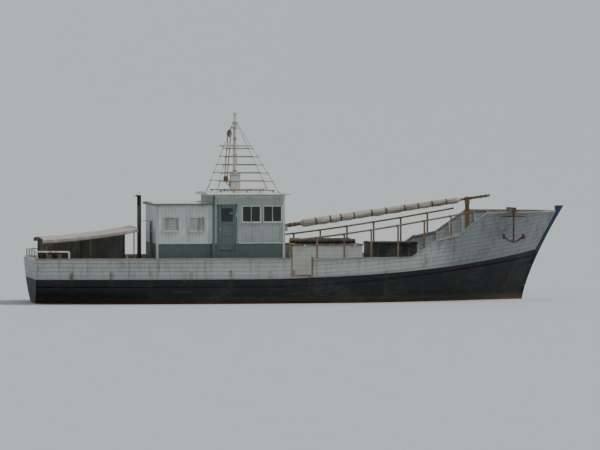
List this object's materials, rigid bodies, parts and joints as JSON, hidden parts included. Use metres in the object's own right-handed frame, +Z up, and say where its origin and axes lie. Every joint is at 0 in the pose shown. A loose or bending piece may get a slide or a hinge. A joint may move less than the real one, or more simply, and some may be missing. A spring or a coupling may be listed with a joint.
{
  "type": "motor dhow with its lateen yard lowered and its sail furled",
  "caption": "Wooden motor dhow afloat: hollow planked hull, pilothouse, deckhouse, hatches, short mast, lateen yard lowered in a crutch, awning, rudder and propeller.",
  "frame": {"origin": "on the waterline, on the centreline, half way along the hull", "axes": "+X to the bow, +Y to port, +Z up"},
  "size_m": [22.2222, 5.6498, 9.31],
  "materials": {
    "black_paint": "worn black paint on planks, red antifouling below the waterline",
    "pale_paint": "weathered off-white paint on wood",
    "green_paint": "faded pale sea-green paint on boards",
    "deck_wood": "bare weathered deck planks",
    "oiled_wood": "oiled hardwood",
    "black_tarpaulin": "boards under a black tarpaulin",
    "sailcloth": "weathered cotton canvas",
    "awning_cloth": "faded pinkish-grey canvas",
    "dark_canvas": "dark weathered canvas",
    "galvanised_steel": "dull galvanised steel with rust",
    "cast_engine": "painted cast iron",
    "bronze": "dull bronze",
    "window_glass": "clear",
    "rope": "laid rope"
  },
  "bodies": {
    "hull": {"hull_planking_port": "black_paint", "hull_planking_starboard": "black_paint", "transom": "pale_paint", "keel_and_stem": "black_paint", "stern_post": "black_paint", "wale_port": "black_paint", "wale_starboard": "black_paint", "bulwark_port": "pale_paint", "bulwark_starboard": "pale_paint", "bow_bulwark_port": "pale_paint", "bow_bulwark_starboard": "pale_paint", "waist_deck": "deck_wood", "poop_deck": "deck_wood", "forecastle_deck": "deck_wood", "cathead": "oiled_wood", "anchor": "galvanised_steel", "main_hatch_coaming": "green_paint", "fore_hatch_coaming": "black_paint", "pilothouse_port_wall": "green_paint", "pilothouse_starboard_wall": "green_paint", "pilothouse_front_wall": "green_paint", "pilothouse_aft_wall": "green_paint", "pilothouse_roof": "pale_paint", "pilothouse_floor": "deck_wood", "deckhouse_port_wall": "green_paint", "deckhouse_starboard_wall": "green_paint", "deckhouse_aft_wall": "green_paint", "deckhouse_roof": "pale_paint", "engine": "cast_engine", "engine_bed": "oiled_wood", "exhaust_stack": "galvanised_steel", "mast": "pale_paint", "main_stays": "galvanised_steel", "lateen_yard": "oiled_wood", "furled_sail": "sailcloth", "yard_crutch": "oiled_wood", "awning_canopy": "awning_cloth", "awning_frame": "oiled_wood", "weather_cloth": "dark_canvas", "side_rail_port": "oiled_wood", "side_rail_starboard": "oiled_wood", "stern_rail": "pale_paint"},
    "rudder_body": {"rudder": "black_paint"},
    "propeller_body": {"propeller": "bronze", "propeller_shaft": "galvanised_steel"},
    "wheel_body": {"steering_wheel": "oiled_wood"},
    "windlass_body": {"windlass_barrel": "oiled_wood"},
    "pilothouse_port_door_body": {"pilothouse_port_door": "green_paint"},
    "pilothouse_starboard_door_body": {"pilothouse_starboard_door": "green_paint"},
    "deckhouse_door_body": {"deckhouse_door": "green_paint"},
    "main_leaf_port_body": {"main_hatch_leaf_port": "oiled_wood"},
    "main_leaf_starboard_body": {"main_hatch_leaf_starboard": "oiled_wood"},
    "fore_leaf_port_body": {"fore_hatch_leaf_port": "black_tarpaulin"},
    "fore_leaf_starboard_body": {"fore_hatch_leaf_starboard": "black_tarpaulin"}
  },
  "joints": [
    {"name": "rudder_turn", "type": "hinge", "parent": "hull", "child": "rudder_body", "pos_m": [-10.05, 0, 0], "axis": [0, 0, 1], "range_deg": [-35, 35]},
    {"name": "wheel_turn", "type": "hinge", "parent": "hull", "child": "wheel_body", "pos_m": [-1.65, 0, 2.89], "axis": [1, 0, 0], "range_deg": [-351, 351]},
    {"name": "propeller_turn", "type": "hinge", "parent": "hull", "child": "propeller_body", "pos_m": [-9.44, 0, -0.95], "axis": [1, 0, 0], "continuous": true},
    {"name": "windlass_turn", "type": "hinge", "parent": "hull", "child": "windlass_body", "pos_m": [8.15, 0, 2.83], "axis": [0, 1, 0], "continuous": true},
    {"name": "pilothouse_port_door_swing", "type": "hinge", "parent": "hull", "child": "pilothouse_port_door_body", "pos_m": [-2.82, 1.522, 3], "axis": [0, 0, -1], "range_deg": [0, 100]},
    {"name": "pilothouse_starboard_door_swing", "type": "hinge", "parent": "hull", "child": "pilothouse_starboard_door_body", "pos_m": [-2.82, -1.522, 3], "axis": [0, 0, 1], "range_deg": [0, 100]},
    {"name": "deckhouse_door_swing", "type": "hinge", "parent": "hull", "child": "deckhouse_door_body", "pos_m": [-6.082, -0.36, 2.3], "axis": [0, 0, 1], "range_deg": [0, 100]},
    {"name": "main_leaf_port_lift", "type": "hinge", "parent": "hull", "child": "main_leaf_port_body", "pos_m": [1.05, 1.156, 2.306], "axis": [-1, 0, 0], "range_deg": [0, 100]},
    {"name": "main_leaf_starboard_lift", "type": "hinge", "parent": "hull", "child": "main_leaf_starboard_body", "pos_m": [1.05, -1.156, 2.306], "axis": [1, 0, 0], "range_deg": [0, 100]},
    {"name": "fore_leaf_port_lift", "type": "hinge", "parent": "hull", "child": "fore_leaf_port_body", "pos_m": [3.875, 0.756, 2.356], "axis": [-1, 0, 0], "range_deg": [0, 100]},
    {"name": "fore_leaf_starboard_lift", "type": "hinge", "parent": "hull", "child": "fore_leaf_starboard_body", "pos_m": [3.875, -0.756, 2.356], "axis": [1, 0, 0], "range_deg": [0, 100]}
  ],
  "couplings": [
    {"joint": "wheel_turn", "follows": "rudder_turn", "ratio": 10}
  ]
}
